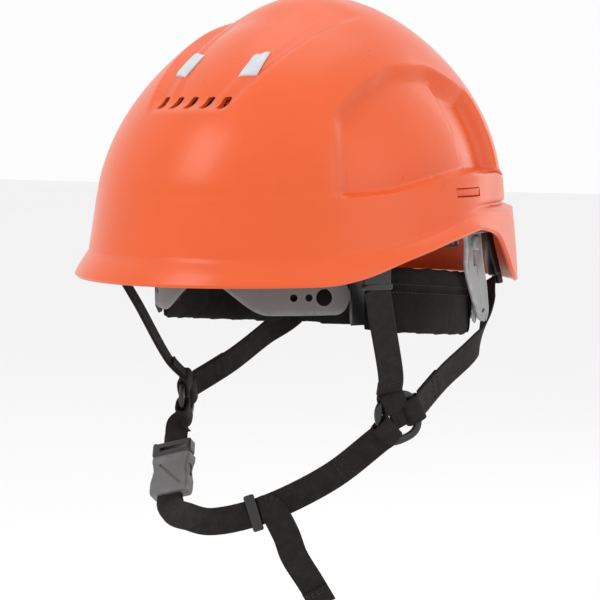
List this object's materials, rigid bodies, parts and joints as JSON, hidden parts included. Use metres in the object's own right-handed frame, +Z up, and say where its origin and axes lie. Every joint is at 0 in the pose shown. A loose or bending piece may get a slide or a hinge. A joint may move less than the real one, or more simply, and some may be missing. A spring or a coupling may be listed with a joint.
{
  "type": "climbing helmet with chin harness",
  "caption": "Vented climbing helmet for tree work: hard shell, textile suspension, ratchet headband and a four-point webbing chin harness with side-release buckle.",
  "frame": {"origin": "centre of the head opening, level with the lower edge of the brim, where the head carries the helmet", "axes": "+Z up, front of the helmet towards -Y, wearer's left towards +X"},
  "size_m": [0.2264, 0.2958, 0.3366],
  "materials": {
    "shell_orange": "gloss injection-moulded shell",
    "vent_screen": "matt black wire mesh",
    "marker_insert": "pale satin insert",
    "suspension_textile": "dark woven textile strap",
    "pad_fabric": "black knitted pad cover",
    "headband_grey": "satin grey plastic",
    "clear_grey": "translucent grey nylon",
    "buckle_grey": "satin grey plastic",
    "webbing": "black polyester webbing",
    "black_plastic": "satin black acetal"
  },
  "bodies": {
    "helmet": {"shell": "shell_orange", "vent_screen": "vent_screen", "headband": "headband_grey", "brow_pad": "pad_fabric", "crown_strap_front_left": "suspension_textile", "crown_strap_front_right": "suspension_textile", "crown_strap_side": "suspension_textile", "crown_pad": "pad_fabric", "accessory_plug_left": "shell_orange", "marker_insert_left": "marker_insert", "hanger_side_left": "headband_grey", "hanger_front_left": "headband_grey", "hanger_rear_left": "headband_grey", "temple_link_left": "headband_grey", "side_band_left": "suspension_textile", "temple_bracket_left": "black_plastic", "side_pad_left": "pad_fabric", "strap_anchor_front_left": "black_plastic", "strap_anchor_rear_left": "black_plastic", "strap_divider_left": "black_plastic", "front_strap_left": "webbing", "rear_strap_left": "webbing", "accessory_plug_right": "shell_orange", "marker_insert_right": "marker_insert", "hanger_side_right": "headband_grey", "hanger_front_right": "headband_grey", "hanger_rear_right": "headband_grey", "temple_link_right": "headband_grey", "side_band_right": "suspension_textile", "temple_bracket_right": "black_plastic", "side_pad_right": "pad_fabric", "strap_anchor_front_right": "black_plastic", "strap_anchor_rear_right": "black_plastic", "strap_divider_right": "black_plastic", "front_strap_right": "webbing", "rear_strap_right": "webbing", "buckle_strap": "webbing", "buckle_tongue": "black_plastic"},
    "cradle": {"arm_left": "clear_grey", "arm_right": "clear_grey", "nape_band": "clear_grey", "nape_pad": "pad_fabric", "ratchet_housing": "black_plastic", "ratchet_cover": "black_plastic"},
    "knob": {"ratchet_knob": "black_plastic", "ratchet_pinion": "black_plastic"},
    "rack_left": {"rack_left": "headband_grey"},
    "rack_right": {"rack_right": "headband_grey"},
    "button_left": {"arm_button_left": "clear_grey"},
    "button_right": {"arm_button_right": "clear_grey"},
    "prong_left": {"buckle_prong_left": "black_plastic"},
    "prong_right": {"buckle_prong_right": "black_plastic"},
    "chin": {"chin_strap": "webbing", "strap_return": "webbing", "strap_keeper": "black_plastic", "strap_tail": "webbing", "buckle_socket": "buckle_grey"}
  },
  "joints": [
    {"name": "cradle_tilt", "type": "hinge", "parent": "helmet", "child": "cradle", "pos_m": [0, 0.034, 0.026], "axis": [1, 0, 0], "range_deg": [-4, 2]},
    {"name": "knob_turn", "type": "hinge", "parent": "cradle", "child": "knob", "pos_m": [0, 0.13, -0.026], "axis": [0, 1, 0], "range_deg": [-100, 100]},
    {"name": "rack_left_slide", "type": "slide", "parent": "cradle", "child": "rack_left", "axis": [1, 0, 0], "range_m": [-0.008, 0.008]},
    {"name": "rack_right_slide", "type": "slide", "parent": "cradle", "child": "rack_right", "axis": [1, 0, 0], "range_m": [-0.008, 0.008]},
    {"name": "button_left_press", "type": "slide", "parent": "cradle", "child": "button_left", "axis": [-1, 0, 0], "range_m": [0, 0.0015], "stiffness_N_per_m": 900, "springref_m": -0.0008},
    {"name": "button_right_press", "type": "slide", "parent": "cradle", "child": "button_right", "axis": [1, 0, 0], "range_m": [0, 0.0015], "stiffness_N_per_m": 900, "springref_m": -0.0008},
    {"name": "prong_left_squeeze", "type": "hinge", "parent": "helmet", "child": "prong_left", "pos_m": [-0.05546, -0.04102, -0.10773], "axis": [-0.0371, 0.784, -0.6196], "range_deg": [0, 6], "stiffness_Nm_per_rad": 0.2},
    {"name": "prong_right_squeeze", "type": "hinge", "parent": "helmet", "child": "prong_right", "pos_m": [-0.06747, -0.0441, -0.11091], "axis": [0.0371, -0.784, 0.6196], "range_deg": [0, 6], "stiffness_Nm_per_rad": 0.2},
    {"name": "chin_strap_open", "type": "hinge", "parent": "helmet", "child": "chin", "pos_m": [0.07, -0.024, -0.092], "axis": [0.0296, -0.7859, 0.6176], "range_deg": [0, 45]}
  ],
  "couplings": [
    {"joint": "rack_left_slide", "follows": "knob_turn", "m_per_rad": 0.0045},
    {"joint": "rack_right_slide", "follows": "knob_turn", "m_per_rad": -0.0045}
  ]
}
